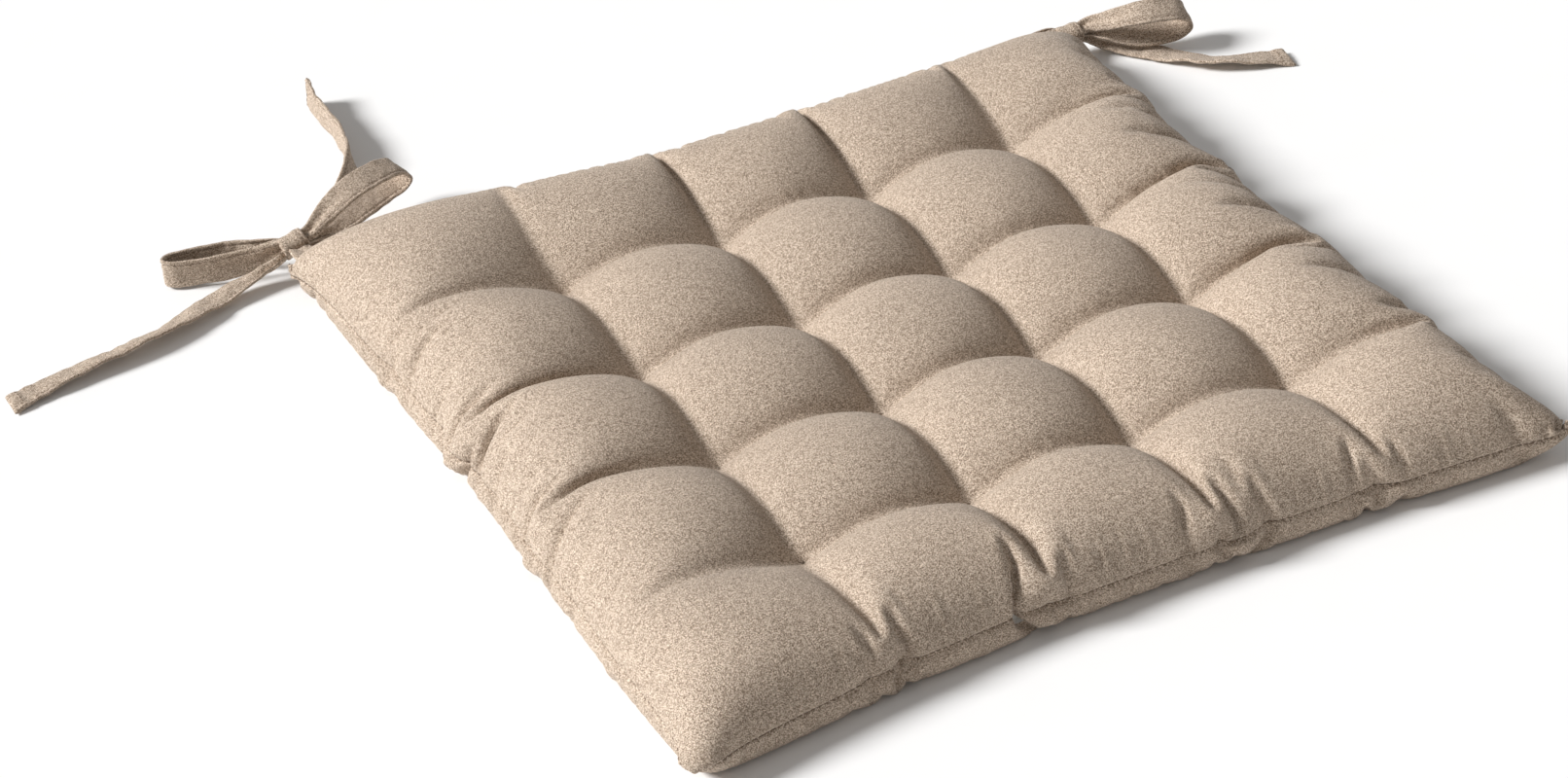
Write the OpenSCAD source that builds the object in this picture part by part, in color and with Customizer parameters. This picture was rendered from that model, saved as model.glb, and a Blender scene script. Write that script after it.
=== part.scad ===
// Tufted square chair seat pad with a tied bow at each back corner.
// Millimetres. Origin: centre of the underside. +X right, +Y to the back edge with the ties, +Z up.

/* [Pad] */
// Side of the square pad, seam to seam
pad_side = 400; // [380:5:430]
// Height of the puffs above the surface that the pad rests on
pad_height = 46; // [40:1:55]
// Height of the edge seam
seam_height = 13; // [11:1:16]
// How far each side pulls in between its corners
side_pull = 5; // [0:0.5:8]
// Width of the rounding from the puffs down to the seam
edge_round = 45; // [35:1:55]

/* [Tufting] */
// Tufts along each side
tuft_count = 4; // [3:1:4]
// Distance between neighbouring tufts
tuft_pitch = 74.4; // [70:0.2:80]
// Height of the top panel at a tuft
tuft_top = 20; // [17:1:24]
// Height of the underside panel at a tuft
tuft_bottom = 9; // [6:0.5:10]
// Radius of the thread bundle of a tuft
tuft_thread_r = 0.9; // [0.6:0.1:1]

/* [Cloth] */
// Thickness of a panel
panel_t = 0.8; // [0.6:0.1:1]
// Thickness of one layer of seam allowance
allowance_t = 0.5; // [0.3:0.1:0.5]
// Width of the seam allowance inside the pad
allowance_w = 11; // [8:1:12]

/* [Ties] */
// Width of a tie
tie_w = 14; // [12:1:16]
// Thickness of a tie, folded and stitched
tie_t = 1.6; // [1.2:0.1:1.8]
// Radius of a knot
knot_r = 5.5; // [5:0.1:5.7]
// Length of a knot, which is the width of the turn around it
knot_length = 14; // [12:1:14]

/* [Hidden] */
TUFTS = [for (row = [1:tuft_count]) for (column = [1:tuft_count]) [row, column]];
function tuft_name(t) = str("tuft_", t[0], "_", t[1]);
PAD_NODES = ["top_panel", "bottom_panel", "filling", "seam_allowance", "edge_stitching"];
TAB_NODES = ["left_tie_tab", "right_tie_tab"];
LEFT_NODES = ["left_tie_neck", "left_knot", "left_loop_inner", "left_loop_outer",
              "left_tail_back", "left_tail_side"];
RIGHT_NODES = ["right_tie_neck", "right_knot", "right_loop_inner", "right_loop_outer",
               "right_tail_back", "right_tail_side"];

half = pad_side / 2;
slit = 0.6;                 // half the gap that the seam leaves between the two panels
hole = 1.5;                 // half the width of the needle hole at a tuft
gap = 0.3;                  // clearance between neighbouring soft solids
tight = 0.05;               // clearance between layers that are sewn together
rim_top = seam_height + slit;
rim_bottom = seam_height - slit;
tuft_span = (tuft_count - 1) * tuft_pitch / 2;
function tuft_at(i) = (i - 1) * tuft_pitch - tuft_span;

// Colours
cover_colour = [0.72, 0.64, 0.55];
tie_colour = [0.66, 0.58, 0.49];
wadding_colour = [0.95, 0.94, 0.91];
thread_colour = [0.45, 0.38, 0.31];

// ---- Shape of the quilted pad -------------------------------------------------------------

// Distance from t to the rim of the nearest needle hole along one axis, 0 inside the hole
function from_tuft(t) = min([for (i = [1:tuft_count]) max(0, abs(t - tuft_at(i)) - hole)]);
// 0 on the line of a row of tufts, 1 halfway to the next row and all the way to the edge
swell_power = 0.75;
function swell(t) = abs(t) > tuft_span + tuft_pitch / 2 ? 1
    : pow(sin(180 * min(from_tuft(t), tuft_pitch / 2) / (tuft_pitch - 2 * hole)), swell_power);
// 0 on the seam, 1 from edge_round inwards, a quarter circle between
function crown(t) = let (d = min(1, max(0, half - abs(t)) / edge_round)) sqrt(1 - (1 - d) * (1 - d));
// Share of the full puff height at a point, by its distance from the rows of tufts
function puff(x, y) = (swell(x) + swell(y)) / 2;

function top_outside(x, y) =
    let (inner = tuft_top + (pad_height - tuft_top) * puff(x, y))
    rim_top + panel_t + (inner - rim_top - panel_t) * crown(x) * crown(y);
function top_inside(x, y) = max(rim_top, top_outside(x, y) - panel_t);
// The puffs of the underside lie flat from this share of a puff's height on
rest_share = 0.55;
function bottom_outside(x, y) =
    let (inner = max(0, tuft_bottom * (1 - puff(x, y) / rest_share)))
    rim_bottom - panel_t - (rim_bottom - panel_t - inner) * crown(x) * crown(y);
function bottom_inside(x, y) = min(rim_bottom, bottom_outside(x, y) + panel_t);

// Plan position of a point of the square once the sides have pulled in
function pull(t) = 1 - side_pull / half * (1 - pow(t / half, 2));
function in_plan(x, y) = [x * pull(y), y * pull(x)];

// Grid lines across the pad: both sides of each needle hole, and steps that close up near them
fill_clear = 2;             // between the filling and the seam allowance
fill_limit = half - allowance_w - fill_clear;
function steps(from, to, shares) = [for (s = shares) from + (to - from) * s];
puff_steps = [0, 0.16, 0.5, 0.84];
edge_steps = [0, 0.2, 0.45, 0.75, 1];
last_step = 5;              // width of the outermost cells
edge_lines = concat(steps(tuft_span + hole, fill_limit, edge_steps), [half - last_step, half]);
lines_across = concat(
    [for (i = [len(edge_lines) - 1:-1:1]) -edge_lines[i]],
    [for (i = [1:tuft_count]) each concat(
        [tuft_at(i) - hole],
        i < tuft_count ? steps(tuft_at(i) + hole, tuft_at(i + 1) - hole, puff_steps) : edge_lines)]);

// Closed solid between two height maps on one grid, open where a needle hole passes
module quilted(upper, lower, limit) {
    lines = [for (t = lines_across) if (abs(t) < limit + 0.001) t];
    n = len(lines);
    last = n - 1;
    holes = [for (i = [0:last - 1]) abs(lines[i + 1] - lines[i] - 2 * hole) < 0.001];
    function at(side, i, j) = side * n * n + i * n + j;
    function open(i, j) = i < 0 || j < 0 || i >= last || j >= last || (holes[i] && holes[j]);
    points = [for (side = [0, 1]) for (x = lines) for (y = lines)
        let (p = in_plan(x, y)) [p[0], p[1], side == 0 ? upper(x, y) : lower(x, y)]];
    cells = [for (i = [0:last - 1]) for (j = [0:last - 1]) if (!open(i, j)) [i, j]];
    skins = [for (c = cells) let (i = c[0], j = c[1]) each [
        [at(0, i, j), at(0, i, j + 1), at(0, i + 1, j + 1), at(0, i + 1, j)],
        [at(1, i, j), at(1, i + 1, j), at(1, i + 1, j + 1), at(1, i, j + 1)]]];
    function wall(i, j, k, l) = [[at(0, i, j), at(0, k, l), at(1, k, l), at(1, i, j)]];
    walls = [for (c = cells) let (i = c[0], j = c[1]) each concat(
        open(i - 1, j) ? wall(i, j + 1, i, j) : [],
        open(i + 1, j) ? wall(i + 1, j, i + 1, j + 1) : [],
        open(i, j - 1) ? wall(i, j, i + 1, j) : [],
        open(i, j + 1) ? wall(i + 1, j + 1, i, j + 1) : [])];
    triangles = [for (f = concat(skins, walls)) each [[f[0], f[1], f[2]], [f[0], f[2], f[3]]]];
    polyhedron(points, triangles, convexity = 10);
}

module top_panel() {
    color(cover_colour)
        quilted(function(x, y) top_outside(x, y), function(x, y) top_inside(x, y), half);
}

module bottom_panel() {
    color(cover_colour)
        quilted(function(x, y) bottom_inside(x, y), function(x, y) bottom_outside(x, y), half);
}

// The fibre filling stops short of the seam allowance
module filling() {
    color(wadding_colour)
        quilted(function(x, y) top_inside(x, y) - gap, function(x, y) bottom_inside(x, y) + gap,
                fill_limit);
}

// Flat ring that follows the seam, from inset a to inset b
function outline(inset) =
    let (r = half - inset, along = [for (k = [-10:9]) r * k / 10])
    concat([for (t = along) in_plan(t, -r)], [for (t = along) in_plan(r, t)],
           [for (t = along) in_plan(-t, r)], [for (t = along) in_plan(-r, -t)]);
module ring(a, b, low, high) {
    translate([0, 0, low])
        linear_extrude(high - low)
            difference() {
                polygon(outline(a));
                polygon(outline(b));
            }
}

// Space that a sewn-in tie end takes between the two layers of seam allowance
tab_inset = 7.5;            // from the pad's corner to the middle of the tie
tab_x = half - tab_inset;
tab_depth = 8;
tab_slot = tie_w + 2 * gap;
beyond = 4;                 // how far the cut runs past the layers
module tab_space(side) {
    translate([side * tab_x - tab_slot / 2, half - allowance_w - beyond, 0])
        cube([tab_slot, allowance_w + 2 * beyond, 2 * seam_height]);
}

// Two layers face to face, inside the thread line
thread_outer = 0.2;         // insets of the thread line from the seam
thread_inner = 1;
allowance_from = thread_inner + 0.2;
module seam_allowance() {
    color(cover_colour)
        difference() {
            union() {
                ring(allowance_from, allowance_w, seam_height + tight, seam_height + tight + allowance_t);
                ring(allowance_from, allowance_w, seam_height - tight - allowance_t, seam_height - tight);
            }
            tab_space(-1);
            tab_space(1);
        }
}

// Thread line that closes the seam
module edge_stitching() {
    color(thread_colour)
        difference() {
            ring(thread_outer, thread_inner, seam_height - slit + tight, seam_height + slit - tight);
            tab_space(-1);
            tab_space(1);
        }
}

// Thread drawn through the pad, with a small knot sunk in each face
stop_h = 1.4;
stop_r = hole - 0.15;
stop_sunk = 0.5;
module tuft(t) {
    low = tuft_bottom + stop_sunk - stop_h;
    high = tuft_top - stop_sunk;
    color(thread_colour)
        translate(in_plan(tuft_at(t[1]), -tuft_at(t[0]))) {
            translate([0, 0, low + stop_h / 2])
                cylinder(h = high - low, r = tuft_thread_r, $fn = 24);
            for (z = [low, high])
                translate([0, 0, z])
                    cylinder(h = stop_h, r = stop_r, $fn = 24);
        }
}

// ---- Ties ---------------------------------------------------------------------------------

function unit(v) = v / norm(v);
// Direction of a route at its point i
function heading(route, i) =
    let (a = route[max(0, i - 1)], b = route[min(len(route) - 1, i + 1)])
    unit([b[0] - a[0], b[1] - a[1], b[2] - a[2]]);
// Direction of the tie's width there: a fixed one, or level and turned by the point's own tilt
function across(route, i, fixed) =
    let (t = heading(route, i),
         level = unit([-t[1], t[0], 0]),
         tilt = route[i][4],
         free = is_undef(fixed) ? level * cos(tilt) + [0, 0, sin(tilt)] : fixed)
    unit(free - t * (free * t));

// Flat strip swept along a route whose points are [x, y, z, width, tilt], for a tie 14 wide
route_w = 14;
module strip(route, thickness = tie_t, fixed = undef) {
    n = len(route);
    half_t = thickness / 2;
    // Eight-sided section: shares of the half width up to the edge, of the edge and of the thickness
    section = [[1, 1, -0.5], [1, 1, 0.5], [1, 0, 1], [-1, 0, 1],
               [-1, -1, 0.5], [-1, -1, -0.5], [-1, 0, -1], [1, 0, -1]];
    sides = len(section);
    points = [for (i = [0:n - 1])
        let (p = route[i], a = across(route, i, fixed), b = cross(heading(route, i), a),
             flat = p[3] * tie_w / route_w / 2 - half_t)
        for (s = section)
            [p[0], p[1], p[2]] + a * (s[0] * flat + s[1] * half_t) + b * s[2] * half_t];
    walls = [for (i = [0:n - 2]) for (k = [0:sides - 1])
        let (m = (k + 1) % sides, near = i * sides, far = near + sides)
        each [[near + k, far + k, far + m], [near + k, far + m, near + m]]];
    polyhedron(points, concat(walls,
        [[for (k = [0:sides - 1]) k], [for (k = [sides - 1:-1:0]) (n - 1) * sides + k]]), convexity = 10);
}

// Barrel with rounded ends, along X
knot_round = 2;
module knot(place) {
    r = knot_r - knot_round;
    end = knot_length / 2;
    arc = [for (a = [0:22.5:90]) [r + knot_round * cos(a), end - knot_round + knot_round * sin(a)]];
    profile = concat([[0, -end]], [for (i = [len(arc) - 1:-1:0]) [arc[i][0], -arc[i][1]]], arc, [[0, end]]);
    translate(place)
        rotate([0, 90, 0])
            rotate_extrude($fn = 48)
                polygon(profile);
}

// End of the tie inside the seam, pressed flat
module tab(side) {
    color(tie_colour)
        translate([side * tab_x - tie_w / 2, half - tab_depth, seam_height - slit + tight])
            cube([tie_w, tab_depth, 2 * (slit - tight)]);
}

standing = [0, 0, 1];
sideways = [1, 0, 0];

// Left bow: routes of its ties, each point [x, y, z, width, tilt]
left_knot_at = [-199, 235, 15];
left_neck = [[-192.5, 202.4, 13, 14, 0], [-192.8, 207, 13.3, 14, 0], [-194, 213, 14, 13.5, 0],
             [-195.6, 219, 14.6, 13, 0], [-197.4, 225, 15, 12, 0], [-198, 229, 15, 11, 0],
             [-198, 230.5, 15, 11, 0]];
left_inner_turn = [0.39, -0.87, -0.29];
left_inner_route = [[-189.8, 235.2, 18.8, 8, 0], [-184, 237.5, 22, 10, 0], [-178, 240, 25, 12, 0],
    [-165, 245, 29, 14, 0], [-152, 250, 30, 14, 0], [-143, 255, 28, 14, 0], [-136.5, 259.5, 23.5, 14, 0],
    [-134.5, 262, 18.5, 14, 0], [-137, 262.5, 15, 14, 0], [-143, 261, 13.5, 14, 0],
    [-159, 251.5, 13.5, 14, 0], [-174, 242.5, 14, 12, 0], [-183, 238, 15, 10, 0],
    [-189.8, 235.6, 16, 8, 0]];
left_outer_route = [[-207.4, 237, 14.6, 8, 0], [-215, 239.4, 11.5, 11, 0], [-227, 243, 8.8, 14, 0],
    [-239, 246, 8.4, 14, 0], [-248, 248.5, 8.4, 14, 0], [-254, 251, 8.4, 14, 0],
    [-256.5, 254.5, 8.4, 14, 0], [-254, 257.8, 8.4, 14, 0], [-246, 258, 8.4, 14, 0],
    [-236, 256, 8.4, 14, 0], [-223, 251.5, 9, 14, 0], [-214, 245, 12, 11, 0],
    [-207.4, 239.4, 14.8, 8, 0]];
left_back_route = [[-189.4, 238.5, 11.4, 8, 0], [-184, 245.5, 8.5, 9, 0], [-178, 254, 6, 11, 0],
    [-168, 266, 5, 13, 10], [-157, 280, 5.6, 14, 25], [-149.5, 292, 7, 14, 50],
    [-145, 305, 8.4, 14, 75], [-142.5, 320, 8.5, 14, 90], [-141, 337, 8.5, 14, 90],
    [-141, 354, 8.5, 14, 90], [-140.5, 370, 8.5, 14, 90], [-138.5, 383, 8.5, 14, 90]];
left_side_route = [[-207.2, 231.8, 11.8, 6, 0], [-217, 231.5, 8.5, 8, 0], [-229, 229.5, 5.5, 11, 0],
    [-242, 225.5, 4, 13, 0], [-255, 220, 4.2, 14, 12], [-266, 215.5, 4.8, 14, 22],
    [-279, 211, 4.8, 14, 25], [-292, 208, 4.6, 14, 22], [-306, 206, 4, 14, 18],
    [-325, 202.5, 3, 14, 10], [-340, 199, 2.2, 14, 4], [-348, 196.5, 1.8, 14, 0]];

// Right bow
right_knot_at = [204, 215, 12];
right_neck = [[193.5, 202.4, 13, 13, 0], [194, 204.4, 12.8, 12, 0], [198.8, 207.4, 12.3, 10.5, 0],
              [202, 209.2, 12, 10, 0], [202, 210.7, 12, 10, 0]];
right_outer_turn = [-0.1, -0.87, -0.47];
right_outer_route = [[213.6, 213, 15.9, 8, 0], [220, 207.5, 18.5, 10, 0], [227, 201, 22, 12, 0],
    [235, 196, 24, 14, 0], [244, 193, 24.5, 14, 0], [253, 192, 22.5, 14, 0], [259, 193.5, 18, 14, 0],
    [260.5, 195.5, 13.5, 14, 0], [257, 197, 10, 14, 0], [248, 197.5, 8.6, 14, 0],
    [239, 200, 8.6, 14, 0], [230, 204, 9.4, 12, 0], [221, 209, 11.5, 10, 0], [213.6, 213.4, 12.9, 8, 0]];
right_inner_route = [[195.6, 216.4, 13, 8, 0], [186, 214, 11, 10, 0], [175, 212.2, 10.2, 12, 0],
    [160, 211, 9.8, 12, 0], [145, 210, 9.8, 12, 0], [133, 209.6, 9.8, 12, 0], [126, 211, 10.2, 13, 0],
    [123, 213.6, 10.6, 13, 0], [126, 216, 10.2, 13, 0], [136, 216.4, 9.8, 12, 0], [150, 216.6, 9.8, 12, 0],
    [166, 217.3, 9.8, 12, 0], [180, 218.8, 10.4, 11, 0], [189, 219.4, 12.2, 10, 0],
    [195.6, 218.8, 13.2, 8, 0]];
right_back_route = [[194.4, 212.5, 6.8, 6, 0], [187, 211, 4, 8, 0], [178, 209, 2.4, 11, 0],
    [166, 207.5, 1.9, 14, 0], [150, 206.5, 1.8, 14, 0], [132, 206, 1.8, 14, 0], [114, 206, 1.8, 14, 0],
    [96, 206.5, 1.8, 14, 0], [78, 207.5, 1.8, 14, 0], [62, 209, 1.8, 14, 0]];
right_side_route = [[213.8, 214.5, 8.3, 8, 0], [220, 212, 4.6, 10, 0], [227.5, 207, 2.6, 13, 0],
    [234, 200, 2, 14, 0], [240, 192, 2, 14, 0], [246, 183, 2.4, 14, -6], [251.5, 174, 3.2, 14, -14],
    [258, 166.5, 3.6, 14, -18], [268, 161, 3.6, 14, -16], [281, 156.5, 2.8, 14, -8],
    [293, 151.5, 1.8, 14, 0]];

// The routes lie round the corners of a pad of this side, and the bows move with the corners
route_side = 400;
module at_corner(side) {
    move = (pad_side - route_side) / 2;
    color(tie_colour)
        translate([side * move, move, 0])
            children();
}

module left_tie_tab() { tab(-1); }
module right_tie_tab() { tab(1); }

module left_tie_neck() { at_corner(-1) strip(left_neck, 2 * tie_t, sideways); }
module left_knot() { at_corner(-1) knot(left_knot_at); }
module left_loop_inner() { at_corner(-1) strip(left_inner_route, tie_t, left_inner_turn); }
module left_loop_outer() { at_corner(-1) strip(left_outer_route, tie_t, standing); }
module left_tail_back() { at_corner(-1) strip(left_back_route); }
module left_tail_side() { at_corner(-1) strip(left_side_route); }

module right_tie_neck() { at_corner(1) strip(right_neck, 2 * tie_t, sideways); }
module right_knot() { at_corner(1) knot(right_knot_at); }
module right_loop_inner() { at_corner(1) strip(right_inner_route, tie_t, standing); }
module right_loop_outer() { at_corner(1) strip(right_outer_route, tie_t, right_outer_turn); }
module right_tail_back() { at_corner(1) strip(right_back_route); }
module right_tail_side() { at_corner(1) strip(right_side_route); }

top_panel();
bottom_panel();
filling();
seam_allowance();
edge_stitching();
for (t = TUFTS) tuft(t);
left_tie_tab();
right_tie_tab();
left_tie_neck();
left_knot();
left_loop_inner();
left_loop_outer();
left_tail_back();
left_tail_side();
right_tie_neck();
right_knot();
right_loop_inner();
right_loop_outer();
right_tail_back();
right_tail_side();
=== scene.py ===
import bpy
import math
import numpy as np
from mathutils import Matrix, Vector


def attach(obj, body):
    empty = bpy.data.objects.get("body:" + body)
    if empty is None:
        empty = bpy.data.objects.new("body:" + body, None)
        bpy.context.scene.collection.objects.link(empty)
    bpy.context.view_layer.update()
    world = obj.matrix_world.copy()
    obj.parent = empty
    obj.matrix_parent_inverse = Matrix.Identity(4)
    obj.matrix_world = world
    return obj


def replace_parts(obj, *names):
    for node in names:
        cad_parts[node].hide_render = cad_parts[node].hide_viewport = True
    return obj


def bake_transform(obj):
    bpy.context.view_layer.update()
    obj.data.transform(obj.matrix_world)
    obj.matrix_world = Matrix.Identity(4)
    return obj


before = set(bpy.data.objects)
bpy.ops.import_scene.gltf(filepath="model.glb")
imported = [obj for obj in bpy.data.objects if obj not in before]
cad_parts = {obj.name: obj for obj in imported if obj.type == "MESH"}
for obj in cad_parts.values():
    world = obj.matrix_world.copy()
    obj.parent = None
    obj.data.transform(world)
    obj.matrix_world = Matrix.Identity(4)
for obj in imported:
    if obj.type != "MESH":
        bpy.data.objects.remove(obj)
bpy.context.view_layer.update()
MM = 0.001

# ---- Camera: where the photograph was taken from ------------------------------------------

VIEW_ANGLES = -24.434, 34.022, -4.411          # azimuth from the front, elevation and roll, degrees
LOOK_AT, VIEW_DISTANCE = (-0.0648, -0.0025, 0.022), 1.4338
LENS, SENSOR = 78.16, 36


def make_camera():
    """The only camera, looking from the front left and above"""
    az, el, roll = (math.radians(a) for a in VIEW_ANGLES)
    back = Vector((math.sin(az) * math.cos(el), -math.cos(az) * math.cos(el), math.sin(el)))
    level = Vector((math.cos(az), math.sin(az), 0))
    rise = back.cross(level)
    right = level * math.cos(roll) + rise * math.sin(roll)
    up = back.cross(right)
    place = Vector(LOOK_AT) + back * VIEW_DISTANCE
    data = bpy.data.cameras.new("camera")
    data.lens, data.sensor_width = LENS, SENSOR
    data.clip_start, data.clip_end = 0.01, 20
    camera = bpy.data.objects.new("camera", data)
    bpy.context.scene.collection.objects.link(camera)
    camera.matrix_world = Matrix((
        (right.x, up.x, back.x, place.x), (right.y, up.y, back.y, place.y),
        (right.z, up.z, back.z, place.z), (0, 0, 0, 1)))
    bpy.context.scene.camera = camera


make_camera()

# ---- Mesh helpers -------------------------------------------------------------------------

def unit(v):
    """The vectors with length 1"""
    return v / np.maximum(np.linalg.norm(v, axis=-1, keepdims=True), 1e-12)


def rows_to_quads(rows, columns, closed=True):
    """Quads between neighbouring rows of a grid of points, whose columns run round when closed"""
    i = np.arange(rows - 1)[:, None] * columns
    k = np.arange(columns if closed else columns - 1)[None, :]
    m = (k + 1) % columns
    return np.stack([i + k, i + m, i + m + columns, i + k + columns], -1).reshape(-1, 4)


def new_object(name, points, faces, material, cloth=None):
    """points in metres; cloth is where each point lies on its cloth before sewing, in metres"""
    mesh = bpy.data.meshes.new(name)
    mesh.from_pydata(np.asarray(points, float).tolist(), [], [list(f) for f in faces])
    if cloth is not None:
        layer = mesh.attributes.new("cloth", "FLOAT_VECTOR", "POINT")
        layer.data.foreach_set("vector", np.asarray(cloth, np.float32).ravel())
    mesh.polygons.foreach_set("use_smooth", [True] * len(mesh.polygons))
    mesh.materials.append(material)
    obj = bpy.data.objects.new(name, mesh)
    bpy.context.scene.collection.objects.link(obj)
    return obj


def joined(parts):
    """Several (points, faces) as one"""
    points, faces, first = [], [], 0
    for p, f in parts:
        points.append(p)
        faces += [[first + i for i in face] for face in f]
        first += len(p)
    return np.concatenate(points), faces


def tube(line, radius, sides=6):
    """Closed round thread along a line of points, with a radius for each"""
    line = np.asarray(line, float)
    radius = np.broadcast_to(radius, len(line))
    along = unit(np.gradient(line, axis=0))
    helper = np.array([0.31, 0.17, 0.93])
    across = unit(np.cross(along, helper))
    up = np.cross(along, across)
    turn = np.arange(sides) * 2 * math.pi / sides
    ring = (line[:, None] + radius[:, None, None] * (across[:, None] * np.cos(turn)[None, :, None]
                                                     + up[:, None] * np.sin(turn)[None, :, None]))
    n = len(line)
    faces = rows_to_quads(n, sides).tolist()
    faces += [list(range(sides))[::-1], [(n - 1) * sides + k for k in range(sides)]]
    return ring.reshape(-1, 3), faces


STITCH_SHARE = np.linspace(0, 1, 5)
STITCH_LIFT = np.array([-0.35, 0.05, 0.14, 0.05, -0.35]) * MM
STITCH_R = np.array([0.1, 0.2, 0.23, 0.2, 0.1]) * MM


def stitches(line, normal, pitch, gap):
    """Row of single stitches over a line of points on a surface"""
    along = np.concatenate([[0], np.cumsum(np.linalg.norm(np.diff(line, axis=0), axis=1))])
    parts = []
    for k in range(int(along[-1] / pitch)):
        at = k * pitch + gap / 2 + STITCH_SHARE * (pitch - gap)
        p = np.stack([np.interp(at, along, line[:, c]) for c in range(3)], 1)
        up = unit(np.stack([np.interp(at, along, normal[:, c]) for c in range(3)], 1))
        parts.append(tube(p + up * STITCH_LIFT[:, None], STITCH_R))
    return parts


class Waves:
    """Smooth seeded unevenness over two coordinates, about -1 to 1"""
    def __init__(self, seed, longest, count=5):
        rng = np.random.default_rng(seed)
        self.k = rng.normal(0, 1, (count, 2)) * 2 * math.pi / longest
        self.phase = rng.uniform(0, 2 * math.pi, count)

    def __call__(self, u, v):
        total = sum(np.sin(k[0] * u + k[1] * v + f) for k, f in zip(self.k, self.phase))
        return total / len(self.phase) ** 0.5


# ---- Materials ----------------------------------------------------------------------------

class Nodes:
    """Short way to build a node tree: each call adds a node and returns it"""
    def __init__(self, name):
        self.material = bpy.data.materials.new(name)
        self.material.use_nodes = True
        self.tree = self.material.node_tree
        self.shader = self.tree.nodes["Principled BSDF"]

    def add(self, kind, inputs=(), **settings):
        node = self.tree.nodes.new(kind)
        for key, value in settings.items():
            setattr(node, key, value)
        for key, value in dict(inputs).items():
            self.put(node, key, value)
        return node

    def put(self, node, key, value):
        if isinstance(value, bpy.types.NodeSocket):
            self.tree.links.new(value, node.inputs[key])
        else:
            node.inputs[key].default_value = value

    def maths(self, operation, a, b=0.0):
        return self.add("ShaderNodeMath", {0: a, 1: b}, operation=operation).outputs[0]

    def scaled(self, vector, scale):
        return self.add("ShaderNodeVectorMath", {0: vector, 1: scale}, operation="MULTIPLY").outputs[0]

    def noise(self, vector, scale, detail=2.0, roughness=0.5):
        return self.add("ShaderNodeTexNoise", {"Vector": vector, "Scale": scale, "Detail": detail,
                                               "Roughness": roughness}).outputs[0]

    def ramp(self, value, stops):
        node = self.add("ShaderNodeValToRGB", {0: value})
        while len(node.color_ramp.elements) < len(stops):
            node.color_ramp.elements.new(0.5)
        for element, (place, colour) in zip(node.color_ramp.elements, stops):
            element.position = place
            element.color = (*colour, 1)
        return node.outputs[0]

    def spread(self, value, low, high, to_low=0.0, to_high=1.0):
        return self.add("ShaderNodeMapRange", {0: value, 1: low, 2: high, 3: to_low, 4: to_high}).outputs[0]

    def finish(self, colour, roughness, height, distance, strength, **constants):
        bump = self.add("ShaderNodeBump", {"Height": height, "Distance": distance, "Strength": strength})
        self.put(self.shader, "Base Color", colour)
        self.put(self.shader, "Roughness", roughness)
        self.put(self.shader, "Normal", bump.outputs[0])
        for key, value in constants.items():
            self.shader.inputs[key.replace("_", " ")].default_value = value
        return self.material


YARN = 0.52 * MM                   # from one yarn of the weave to the next
FIBRE_DARK, FIBRE_MID, FIBRE_LIGHT = (0.15, 0.103, 0.069), (0.43, 0.334, 0.254), (0.80, 0.675, 0.555)


def melange_cloth():
    """Plain weave of mottled yarn: dark and light fibres, slubs, faint bands, woven relief"""
    n = Nodes("melange_cloth")
    place = n.add("ShaderNodeAttribute", attribute_name="cloth").outputs["Vector"]
    yarns = n.scaled(place, (1 / YARN,) * 3)
    part = n.add("ShaderNodeSeparateXYZ", {0: yarns})
    wave = [n.maths("SINE", n.maths("MULTIPLY", part.outputs[i], math.pi)) for i in (0, 1)]
    over = n.maths("MULTIPLY", *wave)                      # above 0 where the warp lies on top
    warp_up = n.spread(over, -0.25, 0.25)
    hump = [n.maths("ABSOLUTE", w) for w in wave]
    relief = n.add("ShaderNodeMix", {0: warp_up, 2: hump[1], 3: hump[0]}).outputs[0]
    # Each yarn's own mottling is drawn out along the yarn
    warp = n.noise(n.scaled(yarns, (1.5, 0.9, 1.0)), 1.0, 1.0, 0.5)
    weft = n.noise(n.scaled(yarns, (0.9, 1.5, 1.0)), 1.07, 1.0, 0.5)
    mottle = n.add("ShaderNodeMix", {0: warp_up, 2: weft, 3: warp}).outputs[0]
    clump = n.noise(yarns, 0.32, 1.0)
    crossing = n.add("ShaderNodeVectorMath", {0: yarns}, operation="FLOOR").outputs[0]
    speck = n.add("ShaderNodeTexWhiteNoise", {"Vector": crossing}).outputs["Value"]
    value = n.maths("ADD", n.maths("MULTIPLY", mottle, 0.8), n.maths("MULTIPLY", clump, 0.1))
    value = n.maths("ADD", value, n.maths("MULTIPLY", speck, 0.1))
    colour = n.ramp(value, [(0.4, FIBRE_DARK), (0.5, FIBRE_MID), (0.6, FIBRE_LIGHT)])
    # Thick places in single yarns, paler than the rest
    slub = n.noise(n.scaled(place, (260.0, 1300.0, 400.0)), 1.0, 0.0)
    slub = n.spread(slub, 0.71, 0.78)
    colour = n.add("ShaderNodeMix", {0: n.maths("MULTIPLY", slub, 0.45), 6: colour, 7: (*FIBRE_LIGHT, 1)},
                   data_type="RGBA").outputs[2]
    # Slow change of shade over the bolt
    shade = n.spread(n.noise(place, 24.0, 2.0), 0.3, 0.7, 0.955, 1.045)
    colour = n.add("ShaderNodeVectorMath", {0: colour, "Scale": shade}, operation="SCALE").outputs[0]
    height = n.maths("ADD", relief, n.maths("MULTIPLY", mottle, 1.1))
    height = n.maths("ADD", height, n.maths("MULTIPLY", slub, 0.8))
    roughness = n.spread(mottle, 0.3, 0.7, 0.96, 0.8)
    return n.finish(colour, roughness, height, 0.14 * MM, 0.6, Sheen_Weight=0.12, Sheen_Roughness=0.5,
                    IOR=1.4, Specular_IOR_Level=0.2)


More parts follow.
